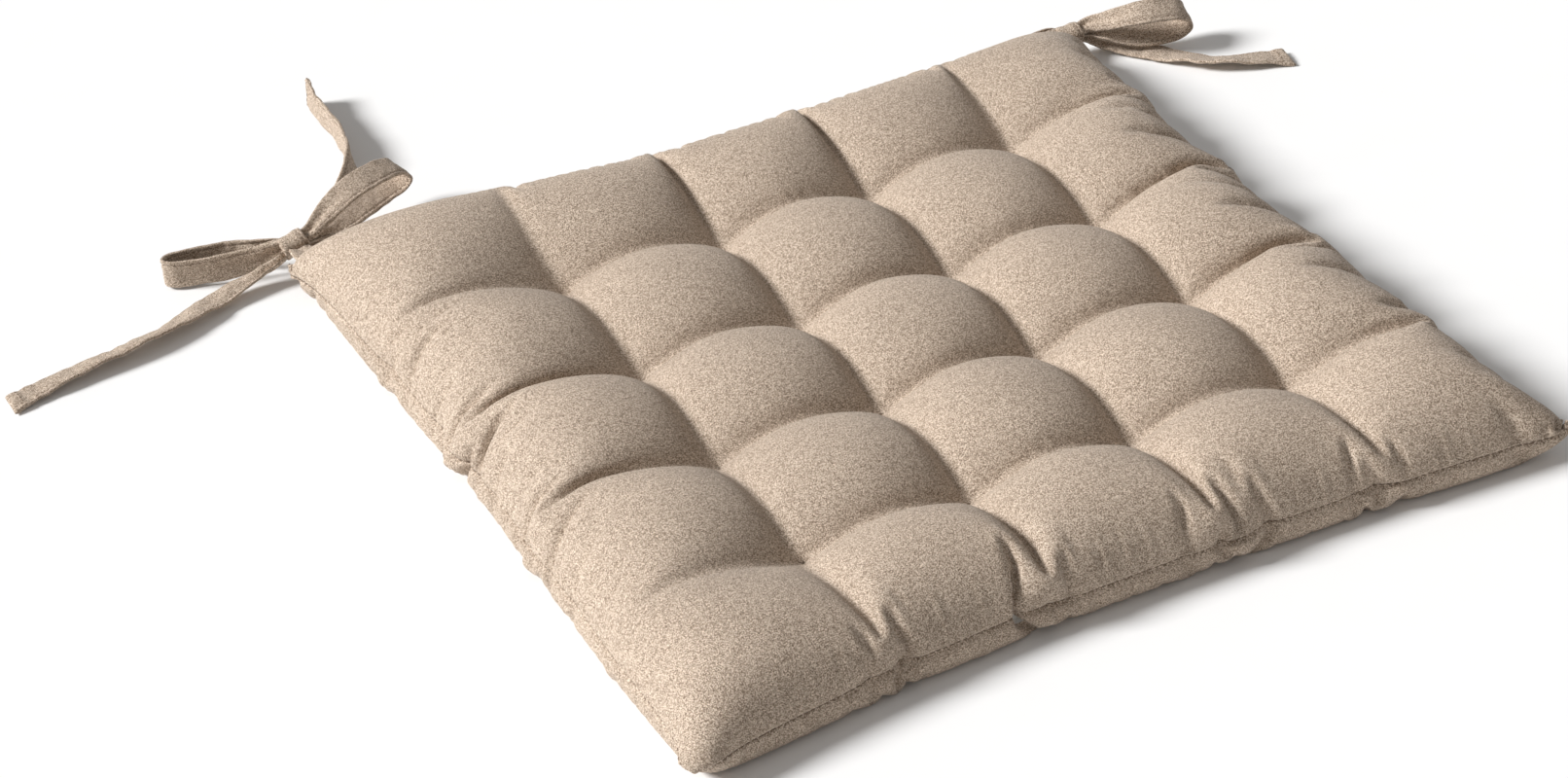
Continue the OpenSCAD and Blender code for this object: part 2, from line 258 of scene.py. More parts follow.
def sewing_thread():
    """Matt twisted thread a shade darker than the cloth"""
    n = Nodes("sewing_thread")
    place = n.add("ShaderNodeTexCoord").outputs["Object"]
    twist = n.add("ShaderNodeTexWave", {"Vector": place, "Scale": 700.0, "Distortion": 1.5, "Detail": 1.0},
                  bands_direction="DIAGONAL").outputs["Fac"]
    fuzz = n.noise(place, 2500.0)
    colour = n.ramp(n.maths("ADD", n.maths("MULTIPLY", twist, 0.6), n.maths("MULTIPLY", fuzz, 0.4)),
                    [(0.2, (0.15, 0.105, 0.072)), (0.8, (0.31, 0.235, 0.175))])
    return n.finish(colour, n.spread(fuzz, 0.3, 0.7, 0.7, 0.9), twist, 0.08 * MM, 0.6,
                    Specular_IOR_Level=0.3)


def fibre_wadding():
    """White polyester fibre, matted"""
    n = Nodes("fibre_wadding")
    place = n.add("ShaderNodeTexCoord").outputs["Object"]
    lumps = n.noise(place, 70.0, 4.0)
    hairs = n.noise(n.scaled(place, (1400.0, 300.0, 900.0)), 1.0, 3.0)
    value = n.maths("ADD", n.maths("MULTIPLY", lumps, 0.5), n.maths("MULTIPLY", hairs, 0.5))
    colour = n.ramp(value, [(0.3, (0.66, 0.65, 0.62)), (0.7, (0.88, 0.87, 0.84))])
    return n.finish(colour, n.spread(hairs, 0.3, 0.7, 0.85, 1.0), value, 1.2 * MM, 0.7,
                    Sheen_Weight=0.3)


CLOTH = melange_cloth()
THREAD = sewing_thread()
WADDING = fibre_wadding()

# ---- Ties: flat straps, folded and top-stitched ---------------------------------------------

TIE_W, TIE_T = 14 * MM, 1.6 * MM
STITCH_IN = 2.1 * MM               # of the top stitching, from the edge
STITCH_PITCH, STITCH_GAP = 2.8 * MM, 0.6 * MM
HEM = 7 * MM                       # end of a tie, folded over once more
HEM_STITCH = 1.6 * MM              # of its row of stitches, from its edge
LEAD = 5 * MM                      # how far a strap reaches into the knot
STEP = 1.1 * MM                    # between the points along a strap
BENT = 13 * MM                     # distance out from the root of a loop or tail to the second point given with its body
HEM_MORE, END_ROUND = 0.45, 0.8 * MM                # extra thickness of a hem, rounding of an end
GROOVE, GROOVE_W = 0.42, 0.38 * MM                  # share and half width of the stitched groove
PLEAT = 2.3 * MM                   # height of the pleats where a strap is drawn together
RIPPLE = 0.16 * MM                 # height of the smaller crumples
CRUMPLE_FROM = 12 * MM             # a strap has all its crumples this far from a knot
PUCKER, PUCKER_W = 0.09 * MM, 1.6 * MM              # height and half width of the puckers at the stitches
KNOT_R = 4.75 * MM                 # middle of the outermost turn
# Directions across the straps
KNOT_AXES = {"left": (0.95, 0.05, 0.28), "right": (0.99, -0.06, 0.12)}
STANDING, SIDEWAYS = (0, 0, 1), (1, 0, 0)
LEFT_INNER_TURN, RIGHT_OUTER_TURN = (0.39, -0.87, -0.29), (-0.1, -0.87, -0.47)
# Middles of the knots
LEFT_KNOT_AT, RIGHT_KNOT_AT = (-0.199, 0.235, 0.015), (0.204, 0.215, 0.012)
# Routes of the straps: x, y, z and width in metres, tilt in degrees
LEFT_NECK = [(-0.1925, 0.2024, 0.013, 0.014, 0), (-0.1928, 0.207, 0.0133, 0.014, 0),
    (-0.194, 0.213, 0.014, 0.0135, 0), (-0.1956, 0.219, 0.0146, 0.013, 0),
    (-0.1974, 0.225, 0.015, 0.012, 0), (-0.198, 0.229, 0.015, 0.011, 0),
    (-0.198, 0.2305, 0.015, 0.011, 0)]
LEFT_INNER_ROUTE = [(-0.1898, 0.2352, 0.0188, 0.008, 0), (-0.184, 0.2375, 0.022, 0.01, 0),
    (-0.178, 0.24, 0.025, 0.012, 0), (-0.165, 0.245, 0.029, 0.014, 0), (-0.152, 0.25, 0.03, 0.014, 0),
    (-0.143, 0.255, 0.028, 0.014, 0), (-0.1365, 0.2595, 0.0235, 0.014, 0),
    (-0.1345, 0.262, 0.0185, 0.014, 0), (-0.137, 0.2625, 0.015, 0.014, 0),
    (-0.143, 0.261, 0.0135, 0.014, 0), (-0.159, 0.2515, 0.0135, 0.014, 0),
    (-0.174, 0.2425, 0.014, 0.012, 0), (-0.183, 0.238, 0.015, 0.01, 0),
    (-0.1898, 0.2356, 0.016, 0.008, 0)]
LEFT_OUTER_ROUTE = [(-0.2074, 0.237, 0.0146, 0.008, 0), (-0.215, 0.2394, 0.0115, 0.011, 0),
    (-0.227, 0.243, 0.0088, 0.014, 0), (-0.239, 0.246, 0.0084, 0.014, 0),
    (-0.248, 0.2485, 0.0084, 0.014, 0), (-0.254, 0.251, 0.0084, 0.014, 0),
    (-0.2565, 0.2545, 0.0084, 0.014, 0), (-0.254, 0.2578, 0.0084, 0.014, 0),
    (-0.246, 0.258, 0.0084, 0.014, 0), (-0.236, 0.256, 0.0084, 0.014, 0),
    (-0.223, 0.2515, 0.009, 0.014, 0), (-0.214, 0.245, 0.012, 0.011, 0),
    (-0.2074, 0.2394, 0.0148, 0.008, 0)]
LEFT_BACK_ROUTE = [(-0.1894, 0.2385, 0.0114, 0.008, 0), (-0.184, 0.2455, 0.0085, 0.009, 0),
    (-0.178, 0.254, 0.006, 0.011, 0), (-0.168, 0.266, 0.005, 0.013, 10),
    (-0.157, 0.28, 0.0056, 0.014, 25), (-0.1495, 0.292, 0.007, 0.014, 50),
    (-0.145, 0.305, 0.0084, 0.014, 75), (-0.1425, 0.32, 0.0085, 0.014, 90),
    (-0.141, 0.337, 0.0085, 0.014, 90), (-0.141, 0.354, 0.0085, 0.014, 90),
    (-0.1405, 0.37, 0.0085, 0.014, 90), (-0.1385, 0.383, 0.0085, 0.014, 90)]
LEFT_SIDE_ROUTE = [(-0.2072, 0.2318, 0.0118, 0.006, 0), (-0.217, 0.2315, 0.0085, 0.008, 0),
    (-0.229, 0.2295, 0.0055, 0.011, 0), (-0.242, 0.2255, 0.004, 0.013, 0),
    (-0.255, 0.22, 0.0042, 0.014, 12), (-0.266, 0.2155, 0.0048, 0.014, 22),
    (-0.279, 0.211, 0.0048, 0.014, 25), (-0.292, 0.208, 0.0046, 0.014, 22),
    (-0.306, 0.206, 0.004, 0.014, 18), (-0.325, 0.2025, 0.003, 0.014, 10),
    (-0.34, 0.199, 0.0022, 0.014, 4), (-0.348, 0.1965, 0.0018, 0.014, 0)]
RIGHT_NECK = [(0.1935, 0.2024, 0.013, 0.013, 0), (0.194, 0.2044, 0.0128, 0.012, 0),
    (0.1988, 0.2074, 0.0123, 0.0105, 0), (0.202, 0.2092, 0.012, 0.01, 0),
    (0.202, 0.2107, 0.012, 0.01, 0)]
RIGHT_OUTER_ROUTE = [(0.2136, 0.213, 0.0159, 0.008, 0), (0.22, 0.2075, 0.0185, 0.01, 0),
    (0.227, 0.201, 0.022, 0.012, 0), (0.235, 0.196, 0.024, 0.014, 0), (0.244, 0.193, 0.0245, 0.014, 0),
    (0.253, 0.192, 0.0225, 0.014, 0), (0.259, 0.1935, 0.018, 0.014, 0),
    (0.2605, 0.1955, 0.0135, 0.014, 0), (0.257, 0.197, 0.01, 0.014, 0),
    (0.248, 0.1975, 0.0086, 0.014, 0), (0.239, 0.2, 0.0086, 0.014, 0), (0.23, 0.204, 0.0094, 0.012, 0),
    (0.221, 0.209, 0.0115, 0.01, 0), (0.2136, 0.2134, 0.0129, 0.008, 0)]
RIGHT_INNER_ROUTE = [(0.1956, 0.2164, 0.013, 0.008, 0), (0.186, 0.214, 0.011, 0.01, 0),
    (0.175, 0.2122, 0.0102, 0.012, 0), (0.16, 0.211, 0.0098, 0.012, 0),
    (0.145, 0.21, 0.0098, 0.012, 0), (0.133, 0.2096, 0.0098, 0.012, 0),
    (0.126, 0.211, 0.0102, 0.013, 0), (0.123, 0.2136, 0.0106, 0.013, 0),
    (0.126, 0.216, 0.0102, 0.013, 0), (0.136, 0.2164, 0.0098, 0.012, 0),
    (0.15, 0.2166, 0.0098, 0.012, 0), (0.166, 0.2173, 0.0098, 0.012, 0),
    (0.18, 0.2188, 0.0104, 0.011, 0), (0.189, 0.2194, 0.0122, 0.01, 0),
    (0.1956, 0.2188, 0.0132, 0.008, 0)]
RIGHT_BACK_ROUTE = [(0.1944, 0.2125, 0.0068, 0.006, 0), (0.187, 0.211, 0.004, 0.008, 0),
    (0.178, 0.209, 0.0024, 0.011, 0), (0.166, 0.2075, 0.0019, 0.014, 0),
    (0.15, 0.2065, 0.0018, 0.014, 0), (0.132, 0.206, 0.0018, 0.014, 0),
    (0.114, 0.206, 0.0018, 0.014, 0), (0.096, 0.2065, 0.0018, 0.014, 0),
    (0.078, 0.2075, 0.0018, 0.014, 0), (0.062, 0.209, 0.0018, 0.014, 0)]
RIGHT_SIDE_ROUTE = [(0.2138, 0.2145, 0.0083, 0.008, 0), (0.22, 0.212, 0.0046, 0.01, 0),
    (0.2275, 0.207, 0.0026, 0.013, 0), (0.234, 0.2, 0.002, 0.014, 0), (0.24, 0.192, 0.002, 0.014, 0),
    (0.246, 0.183, 0.0024, 0.014, -6), (0.2515, 0.174, 0.0032, 0.014, -14),
    (0.258, 0.1665, 0.0036, 0.014, -18), (0.268, 0.161, 0.0036, 0.014, -16),
    (0.281, 0.1565, 0.0028, 0.014, -8), (0.293, 0.1515, 0.0018, 0.014, 0)]


def smooth(route, step):
    """The route as one smooth curve with points about step apart, and how far along it each is"""
    p = np.array(route, float)
    t = np.concatenate([[0], np.cumsum(np.linalg.norm(np.diff(p[:, :3], axis=0), axis=1))])
    slope = np.gradient(p, t, axis=0)
    fine = np.linspace(0, t[-1], 12 * len(p))
    i = np.clip(np.searchsorted(t, fine, "right") - 1, 0, len(t) - 2)
    h = (t[i + 1] - t[i])[:, None]
    s = (fine - t[i])[:, None] / h
    q = ((2 * s ** 3 - 3 * s ** 2 + 1) * p[i] + (s ** 3 - 2 * s ** 2 + s) * h * slope[i]
         + (3 * s ** 2 - 2 * s ** 3) * p[i + 1] + (s ** 3 - s ** 2) * h * slope[i + 1])
    along = np.concatenate([[0], np.cumsum(np.linalg.norm(np.diff(q[:, :3], axis=0), axis=1))])
    at = np.linspace(0, along[-1], max(4, round(along[-1] / step)) + 1)
    return np.stack([np.interp(at, along, q[:, k]) for k in range(5)], 1), at


def led_in(route, knot, ends):
    """The route with a point inside the knot before its first point, and after its last if ends is 2"""
    def inside(p):
        towards = np.array(knot) - np.array(p[:3])
        towards *= LEAD / np.linalg.norm(towards)
        return (*(np.array(p[:3]) + towards), p[3] * 0.85, p[4])
    return [inside(route[0])] + list(route) + ([inside(route[-1])] if ends == 2 else [])


def strap_shape(route, fixed, seed, hem=False, slant=0.0, crumple=0.45):
    """Points, faces, cloth places, stitch lines, middle line and length of one strap; fixed is the
    direction across it, or None where it lies level but for its tilt"""
    line, at = smooth(route, STEP)
    heading = unit(np.gradient(line[:, :3], axis=0))
    if fixed is None:
        level = unit(np.stack([-heading[:, 1], heading[:, 0], 0 * at], 1))
        tilt = np.radians(line[:, 4:5])
        free = level * np.cos(tilt) + np.array([0, 0, 1]) * np.sin(tilt)
    else:
        free = np.broadcast_to(np.array(fixed, float), heading.shape)
    across = unit(free - heading * (free * heading).sum(1, keepdims=True))
    normal = np.cross(heading, across)
    width = line[:, 3]
    left = at[-1] - at
    # Places across the strap: plain fold on one side, open edge with its stitching on the other
    fold = np.array([0.04, 0.25, 0.7, 1.4]) * MM
    sewn = np.array([3.2, 2.5, 2.1, 1.7, 1.1, 0.6, 0.25, 0.05]) * MM
    middle = np.linspace(0, 1, 7)[1:-1]
    half = width[:, None] / 2
    s = np.concatenate([-half + fold, (-half + fold[-1]) + (2 * half - fold[-1] - sewn[0]) * middle,
                        half - sewn], 1)
    side = np.minimum(half - s, half + s)
    half_t = np.full(len(at), TIE_T / 2)
    if hem:
        half_t = half_t * (1 + HEM_MORE / (1 + np.exp((left - HEM) / (0.25 * MM))))
    end = np.sqrt(np.clip(1 - (1 - np.clip((left if hem else at[-1]) / END_ROUND, 0, 1)) ** 2, 0.05, 1))
    half_t = half_t * end
    edge = np.clip(side / (TIE_T / 2), 0, 1)
    groove = 1 - GROOVE * np.exp(-((half - STITCH_IN - s) / GROOVE_W) ** 2)
    thick = half_t[:, None] * np.sqrt(1 - (1 - edge) ** 2) * groove
    # Gathers where the strap is drawn together, and the slight crumple of washed cotton
    pleat = PLEAT * np.clip(1 - width[:, None] / TIE_W, 0, 1)
    u, v = at[:, None] + 0 * s, s
    wave, ripple = Waves(seed, 34 * MM), Waves(seed + 50, 11 * MM)
    from_knot = at if hem else np.minimum(at, left)
    ease = np.clip(from_knot / CRUMPLE_FROM, 0, 1)[:, None]
    middle_z = pleat * np.cos(3 * math.pi * s / width[:, None] + 0.7)
    middle_z = middle_z + ease * (crumple * MM * wave(u, v) + RIPPLE * ripple(u, v))
    middle_z = middle_z + PUCKER * np.cos(2 * math.pi * u / STITCH_PITCH) * np.exp(
        -((half - STITCH_IN - s) / PUCKER_W) ** 2)
    shift = slant * (s / TIE_W) * np.clip(1 - left / TIE_W, 0, 1)[:, None] if hem else 0 * s
    core = (line[:, None, :3] + across[:, None] * s[..., None] + heading[:, None] * shift[..., None]
            + normal[:, None] * middle_z[..., None])
    top = core + normal[:, None] * thick[..., None]
    low = core - normal[:, None] * thick[..., None]
    lip = core[:, -1] - across * 0.35 * MM              # the slit between the two layers
    bend = core[:, 0] - across * 0.05 * MM
    points = np.concatenate([top, lip[:, None], low[:, ::-1], bend[:, None]], 1)
    rows, columns = points.shape[:2]
    faces = rows_to_quads(rows, columns)[:, ::-1].tolist()
    k = s.shape[1]
    for row, turned in ((0, False), (rows - 1, True)):
        ring = [row * columns + i for i in range(columns)]
        pairs = [(ring[i], ring[(2 * k - i) % columns]) for i in range(-1, k + 1)]
        for (a, b), (c, d) in zip(pairs, pairs[1:]):
            face = [i for j, i in enumerate((a, b, d, c)) if i not in (a, b, d, c)[:j]]
            if len(face) > 2:
                faces.append(face if turned else face[::-1])
    cloth = np.zeros_like(points)
    flat_s = np.concatenate([s, s[:, -1:], s[:, ::-1] + 40 * MM, s[:, :1]], 1)
    cloth[..., 0] = at[:, None] + seed * 0.37
    cloth[..., 1] = flat_s
    sewn_at = fold.size + middle.size + 2                 # the column of the stitching groove
    rows_sewn = slice(3, -3)
    lines = [(top[rows_sewn, sewn_at], normal[rows_sewn]), (low[rows_sewn, sewn_at], -normal[rows_sewn])]
    if hem:
        row = int(np.argmin(abs(left - HEM + HEM_STITCH)))
        lines += [(top[row, 1:-2], np.broadcast_to(normal[row], top[row, 1:-2].shape)),
                  (low[row, 1:-2], np.broadcast_to(-normal[row], low[row, 1:-2].shape))]
    return points.reshape(-1, 3), faces, cloth.reshape(-1, 3), lines, line[:, :3], at[-1]


def strap(name, route, fixed, seed, body, **shape):
    """A strap and its top stitching, riding on the body when body is a name, else fixed where they lie"""
    points, faces, cloth, lines, path, length = strap_shape(route, fixed, seed, **shape)
    piece = new_object(name, points, faces, CLOTH, cloth)
    thread = new_object(name + "_stitching", *joined(
        [part for line, up in lines for part in stitches(line, up, STITCH_PITCH, STITCH_GAP)]), THREAD)
    for obj, kind in ((piece, "tie"), (thread, "thread")):
        if isinstance(body, str):
            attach(obj, body)
        else:
            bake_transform(obj)
    return piece, thread, path, length


def knot_route(centre, axis):
    """Turns of the band round the knot, from the inside out"""
    axis = unit(np.array(axis))
    rise = unit(np.array([0, 0, 1]) - axis * axis[2])
    aside = np.cross(axis, rise)
    route = []
    turns, first, points = 2.15, 1.5 * MM, 45             # first is the radius of the innermost turn
    for k in range(points):
        t = k / (points - 1)
        r = first + (KNOT_R - first) * min(1, t * turns / (turns - 0.6)) - (0.9 * MM if t > 0.97 else 0)
        a = math.radians(250) - 2 * math.pi * turns * (1 - t)
        p = np.array(centre) + r * (0.97 * rise * math.sin(a) + aside * math.cos(a))
        waist = 1 - 0.09 * max(0, math.sin(a)) * t
        route.append((*p, TIE_W * 0.93 * waist, 0))
    return route


def bow(side, knot_at, neck, loops, tails):
    """Neck, knot, two loops and two tails of one tie; a loop or tail is (name, route, across, slant)"""
    hub = f"{side}_bow"
    axis = KNOT_AXES[side]
    turns = knot_route(knot_at, axis)
    knot, knot_thread, _, _ = strap(f"{side}_knot_band", turns, axis, 3, hub, crumple=0.2)
    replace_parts(knot, f"{side}_knot")
    root, root_thread, _, _ = strap(f"{side}_tie_root", neck, SIDEWAYS, 4,
                                    ("pad", hub, neck[0][:3], neck[-2][:3]), crumple=0.1)
    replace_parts(root, f"{side}_tie_neck")
    for i, (end, route, fixed, slant) in enumerate(loops + tails):
        hem = i >= len(loops)
        places = np.array(route)[:, :3]
        root_at = places[0] if hem else (places[0] + places[-1]) / 2
        away = (places[3] if hem else (places[2] + places[-3]) / 2) - root_at
        bent = root_at, root_at + unit(away) * BENT
        seed = 10 + i + (20 if side == "right" else 0)
        name = f"{side}_{end}"
        piece, thread, path, length = strap(
            name + "_strap", led_in(route, knot_at, 1 if hem else 2), fixed, seed,
            (hub, name + "_piece", *bent), hem=hem, slant=slant, crumple=0.45 if hem else 0.35)
        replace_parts(piece, name)
        tuple(path[0])


bow("left", LEFT_KNOT_AT, LEFT_NECK,
    [("loop_inner", LEFT_INNER_ROUTE, LEFT_INNER_TURN, 0), ("loop_outer", LEFT_OUTER_ROUTE, STANDING, 0)],
    [("tail_back", LEFT_BACK_ROUTE, None, -1 * MM), ("tail_side", LEFT_SIDE_ROUTE, None, 4 * MM)])
bow("right", RIGHT_KNOT_AT, RIGHT_NECK,
    [("loop_outer", RIGHT_OUTER_ROUTE, RIGHT_OUTER_TURN, 0), ("loop_inner", RIGHT_INNER_ROUTE, STANDING, 0)],
    [("tail_back", RIGHT_BACK_ROUTE, None, 2 * MM), ("tail_side", RIGHT_SIDE_ROUTE, None, -4 * MM)])

# ---- The pad: two panels sewn together, tufted and filled, in millimetres ------------------

STEPS = (-1.5, -0.5, 0.5, 1.5)     # places of the rows of tufts, in pitches from the middle
OUTER = STEPS[-1]                  # and of the outermost one
PITCH = 74.4                       # between tufts, once filled
CUT_PITCH = 82.0                   # between tufts, on the flat panels
CUT_LOW, CUT_HIGH = (-219.0, -203.0), (213.0, 221.0)     # edges of the cut panels, x and y
LAID_LOW, LAID_HIGH = (-200.0, -186.0), (196.0, 201.0)   # and where they lie once filled
TUFT_TOP, TUFT_LOW = 19.0, 8.5     # heights of a tuft's two ends
FIBRE = 73.0                       # free thickness of the filling in the middle of a puff
DIP, DIP_W = 0.75, 4.6             # how much less of it lies along the tuft lines
DIP_FADE = 0.55                    # and how that fades outside the tufts
UNEVEN_FILL = 0.035                # share by which the filling is uneven
RIM = 40.0                         # width of the rounding towards the seam
BACK_LEFT, MORE_THERE = (-165.0, 190.0, 80.0), 0.7       # fullest corner: x, y, reach, extra
PRESSURE, WEIGHT = 0.005, 0.002    # push of squeezed filling, and fall of the cloth, in each step
THINNEST, MOST_SQUEEZE = 2.0, 0.4  # the push stops growing at this thickness, and at this squeeze
DAMPING = 0.985                    # share of its speed that the cloth keeps
DIAGONAL = 0.25                    # strength of the cloth across its threads
SEAM_HOLD, LOWEST = 0.1, 0.3       # pull of the seam to its height, and how low the cloth may lie
CREASE, CREASE_W = 0.0030, 2.6     # pull of the filling's own hold along the tuft lines
SLACK, RIM_SLACK = 0.02, 1.0       # resistance to being pushed together, puffs and rim
RIM_EASE, SEAM_EASE, CORNER_EASE = 0.03, -0.05, 0.05     # extra cloth: rim, seam, fullest corner
BEND = 0.06                        # stiffness of the cloth, all but gone in the creases
UNEVEN_START = 0.25, 0.15, 0.05    # by how much the threads start out of place, per refinement
RIGHT_EASE, LEFT_EASE = 0.06, 0.02         # more of it along the gathered right edge, and the left
SEAM_Z, SEAM_LIFT = 13.0, 8.0      # height of the seam, and how much it rises at the fullest corner
FIRST_H = 8.0                      # distance between threads at first, halved with each refinement
PUFF_UP, PUFF_DOWN = 24, 8         # how far the puffs stand out at the start, above and below
# Where the corners lie, by whether they are the right ones and the back ones
CORNERS = {(0, 1): (-209.5, 212.0, 21.0), (1, 1): (199.0, 201.0, 14.0),
           (1, 0): (199.5, -189.0, 20.0), (0, 0): (-198.5, -191.0, 7.0)}
BLUNT = 0.7                        # how far a corner lies back towards its neighbours on the seam
# Gathers of the seam: place along the flat side, and how far out the seam may lie there
FRONT_GATHERS = [(-132, -182), (-116, -178), (-56, -182), (-40, -178), (28, -182), (42, -178),
                 (56, -181.5), (112, -182), (122, -179), (160, -186)]
RIGHT_GATHERS = [(-140, 198), (-124, 194), (-108, 196), (-44, 190.5), (-30, 194), (4, 195),
                 (34, 190.5), (46, 189), (60, 193), (76, 191), (100, 192), (118, 188.5), (134, 191),
                 (156, 193), (180, 196)]
BACK_GATHERS = [(-40, 200), (-26, 201), (40, 196), (120, 197)]
LEFT_GATHERS = [(-40, -197.5), (20, -197), (120, -198)]
# Folds that run inwards from the seam, on the flat cloth: place along the side,
# then x and y of the inner end, and the depth
RIGHT_FOLDS = [(180, 146, 194, 2.1), (160, 138, 172, 2.6), (141, 140, 128, 2.1), (112, 142, 122, 2.1),
               (92, 145, 106, 2.4), (66, 134, 84, 2.8), (46, 138, 43, 2.1), (28, 144, 38, 2.2),
               (6, 148, 20, 2.1), (-16, 134, -1, 2.8), (-36, 140, -41, 2.1), (-56, 142, -46, 2.2),
               (-84, 140, -69, 2.6), (-106, 140, -119, 2.2), (-130, 142, -124, 2.4),
               (-160, 156, -147, 1.9), (-178, 180, -165, 2.6)]
FRONT_FOLDS = [(188, 176, -170, 2.2), (-134, -126, -150, 1), (-112, -120, -155, 1),
               (-60, -46, -150, 1), (-30, -38, -152, 1.2), (22, 36, -150, 1.1), (52, 46, -155, 1),
               (70, 56, -165, 0.8), (108, 118, -150, 1), (136, 128, -155, 1)]
LEFT_FOLDS = [(98, -150, 120, 0.8), (68, -165, 92, 0.6), (20, -148, 37, 1), (0, -160, 26, 0.7),
              (-62, -150, -45, 0.9), (-86, -170, -66, 0.6)]
BACK_FOLDS = [(-110, -119, 170, 0.8), (-52, -44, 175, 0.7), (32, 38, 175, 0.8), (110, 119, 175, 0.8)]
FOLDS = [((CUT_HIGH[0], at), (x, y), deep) for at, x, y, deep in RIGHT_FOLDS]
FOLDS += [((at, CUT_LOW[1]), (x, y), deep) for at, x, y, deep in FRONT_FOLDS]
FOLDS += [((CUT_LOW[0], at), (x, y), deep) for at, x, y, deep in LEFT_FOLDS]
FOLDS += [((at, CUT_HIGH[1]), (x, y), deep) for at, x, y, deep in BACK_FOLDS]
FOLD, FOLD_W = 0.00045, 2.8        # pull along a fold of depth 1, and half its width
# The folds at the sides start as waves this high, each this long, over this width
RIGHT_WAVE, LEFT_WAVE, WAVE_LONG, WAVE_W = 1.6, 1.2, (21, 33, 47), 60


def pull(a, b, rest, k, slack=1.0):
    """Moves pairs of points towards their rest distance; slack weakens it where they are too near"""
    d = b - a
    length = np.sqrt(np.einsum("...i,...i", d, d))
    give = 1 - rest / np.maximum(length, 1e-6)
    d *= (0.5 * k * np.where(give < 0, slack * give, give))[..., None]
    a += d
    b -= d


def cut_lines(axis, h):
    """Where the threads of the flat panels lie along x (axis 0) or y (1), h apart"""
    return np.arange(CUT_LOW[axis], CUT_HIGH[axis] + h / 2, h, dtype=np.float32)


def every_pair(n, gap):
    """Slices of the pairs of rows that lie gap apart, in sets that share no row"""
    for s in range(2 * gap):
        count = len(range(s, n - gap, 2 * gap))
        if count:
            yield slice(s, n - gap, 2 * gap), slice(s + gap, s + gap + 2 * gap * (count - 1) + 1, 2 * gap)


def fold_depth(u, v):
    """How deep the folds are meant to lie at each point of the flat cloth"""
    depth = np.zeros((len(u), len(v)))
    for seam_end, inner_end, deep in FOLDS:
        run = np.array(inner_end) - seam_end
        du, dv = u[:, None] - seam_end[0], v[None, :] - seam_end[1]
        along = np.clip((du * run[0] + dv * run[1]) / (run @ run), 0, 1)
        off = np.hypot(du - along * run[0], dv - along * run[1])
        depth = np.maximum(depth, deep * (1 - along) ** 0.7 * np.exp(-(off / FOLD_W) ** 2))
    return depth


def maps(h):
    """At each crossing of threads: free thickness of the filling, its hold, slack, rest length, flex,
    whether it is on the seam, and how high the seam lies"""
    lines = [cut_lines(axis, h) for axis in (0, 1)]
    off = [np.min([abs(u - k * CUT_PITCH) for k in STEPS], 0) for u in lines]
    edge = [np.minimum(u - u[0], u[-1] - u) for u in lines]
    reach = [np.clip((abs(u) - OUTER * CUT_PITCH) / 80, 0, 1) for u in lines]
    reach = np.maximum(reach[0][:, None], reach[1][None, :])
    dip = DIP * (1 - DIP_FADE * reach)
    hollow = [np.exp(-(o / DIP_W) ** 2) for o in off]
    crown = [np.sqrt(1 - (1 - np.clip(e / RIM, 0, 1)) ** 2) for e in edge]
    x0, y0, far = BACK_LEFT
    near = np.exp(-(((lines[0] - x0) / far) ** 2)[:, None] - (((lines[1] - y0) / far) ** 2)[None, :])
    uneven = Waves(11, 150, 6)(lines[0][:, None], lines[1][None, :])
    free = (FIBRE * (1 - dip * hollow[0][:, None]) * (1 - dip * hollow[1][None, :])
            * crown[0][:, None] * crown[1][None, :] * (1 + MORE_THERE * near + UNEVEN_FILL * uneven))
    hold = [np.exp(-(o / CREASE_W) ** 2) for o in off]
    hold = CREASE * np.maximum(hold[0][:, None], hold[1][None, :]) * np.clip(1 - 1.2 * reach, 0, 1)
    folds = fold_depth(*lines)
    flex = BEND * (1 - 0.9 * np.clip(hold / CREASE + folds, 0, 1))
    hold = np.maximum(hold, FOLD * folds)
    slack = SLACK + (RIM_SLACK - SLACK) * np.clip(reach * 2, 0, 1)
    aside = [np.clip((sign * lines[0] - 1.6 * CUT_PITCH) / 40, 0, 1)[:, None] for sign in (1, -1)]
    rest = h * (1 + RIM_EASE * reach ** 2 + CORNER_EASE * near
                + RIGHT_EASE * aside[0] + LEFT_EASE * aside[1])
    ring = np.zeros(free.shape, bool)
    ring[[0, -1]] = True
    ring[:, [0, -1]] = True
    rest[ring] = h * (1 + SEAM_EASE)
    seam_z = (SEAM_Z + SEAM_LIFT * near)[ring]
    fields = [a.astype(np.float32) for a in (free, hold, slack, rest, flex)]
    return *fields, ring, seam_z


